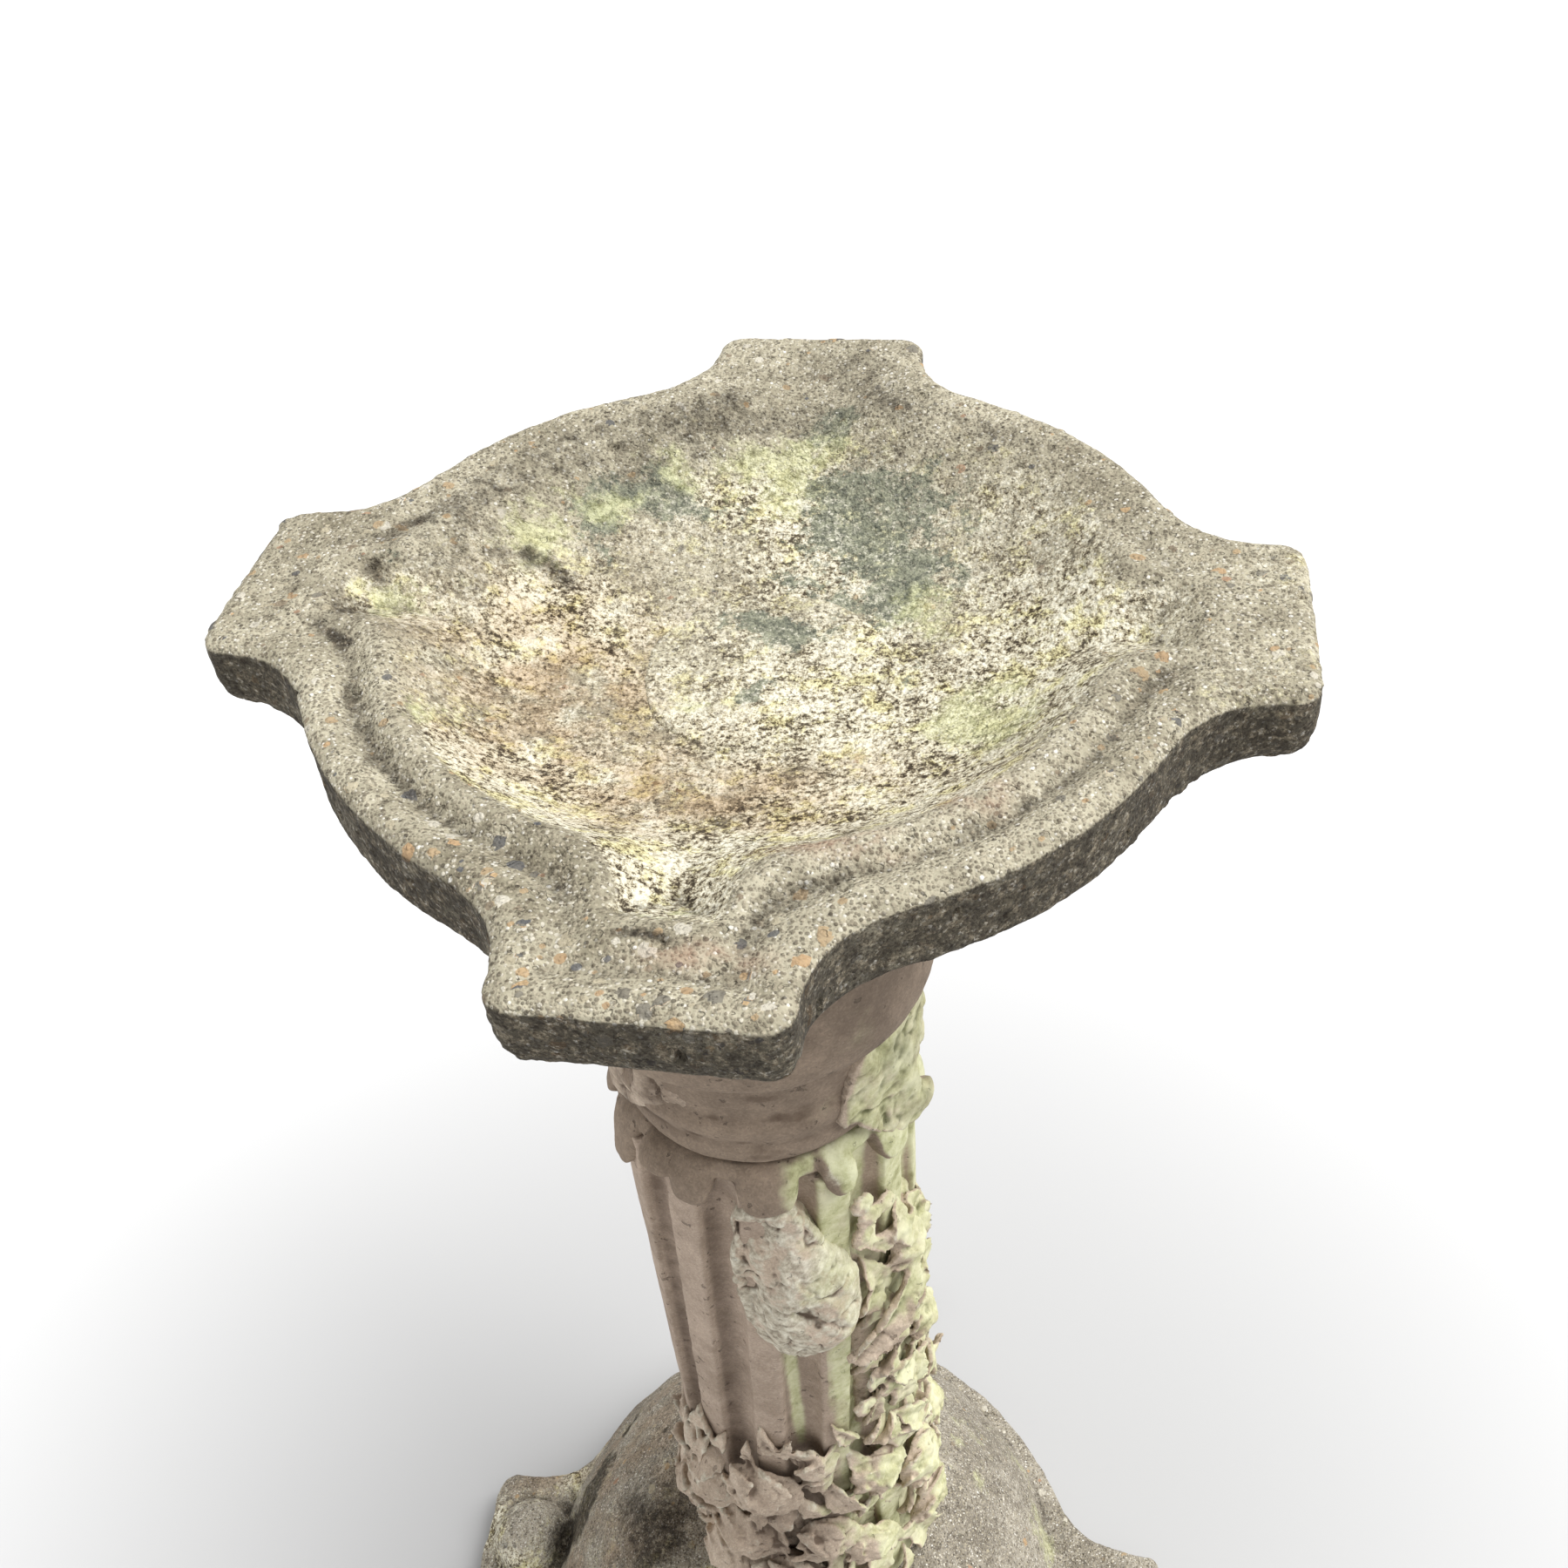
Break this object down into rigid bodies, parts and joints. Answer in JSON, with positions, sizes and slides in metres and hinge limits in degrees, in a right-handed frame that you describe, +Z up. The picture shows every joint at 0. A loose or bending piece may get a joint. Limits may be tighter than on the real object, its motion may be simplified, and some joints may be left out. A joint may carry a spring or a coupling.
{
  "type": "bird bath",
  "caption": "Cast-stone bird bath: an eared shallow bowl rests on a fluted pedestal with leaves and roses, on an eared domed plinth.",
  "frame": {"origin": "middle of the plinth's underside, on the ground", "axes": "+Z up; +X and +Y along the ears of the plinth; the front, with the hanging worn leaf, faces -Y"},
  "size_m": [0.476, 0.476, 0.864],
  "materials": {
    "plinth_aggregate": "rough weathered",
    "pedestal_stone": "rough weathered",
    "relief_stone": "rough weathered",
    "bowl_aggregate": "rough weathered",
    "patch_mortar": "rough weathered"
  },
  "bodies": {
    "base": {"plinth": "plinth_aggregate"},
    "pedestal": {"shaft": "pedestal_stone", "foot_roses": "relief_stone", "rose_garland": "relief_stone", "leaf_drop": "relief_stone", "leaf_collar": "pedestal_stone", "acanthus_leaves": "relief_stone", "capital": "pedestal_stone"},
    "bowl": {"bowl": "bowl_aggregate", "basin_patch": "patch_mortar"}
  },
  "joints": [
    {"name": "pedestal_lift", "type": "slide", "parent": "base", "child": "pedestal", "axis": [0, 0, 1], "range_m": [0, 0.06]},
    {"name": "bowl_lift", "type": "slide", "parent": "pedestal", "child": "bowl", "axis": [0, 0, 1], "range_m": [0, 0.08]}
  ]
}
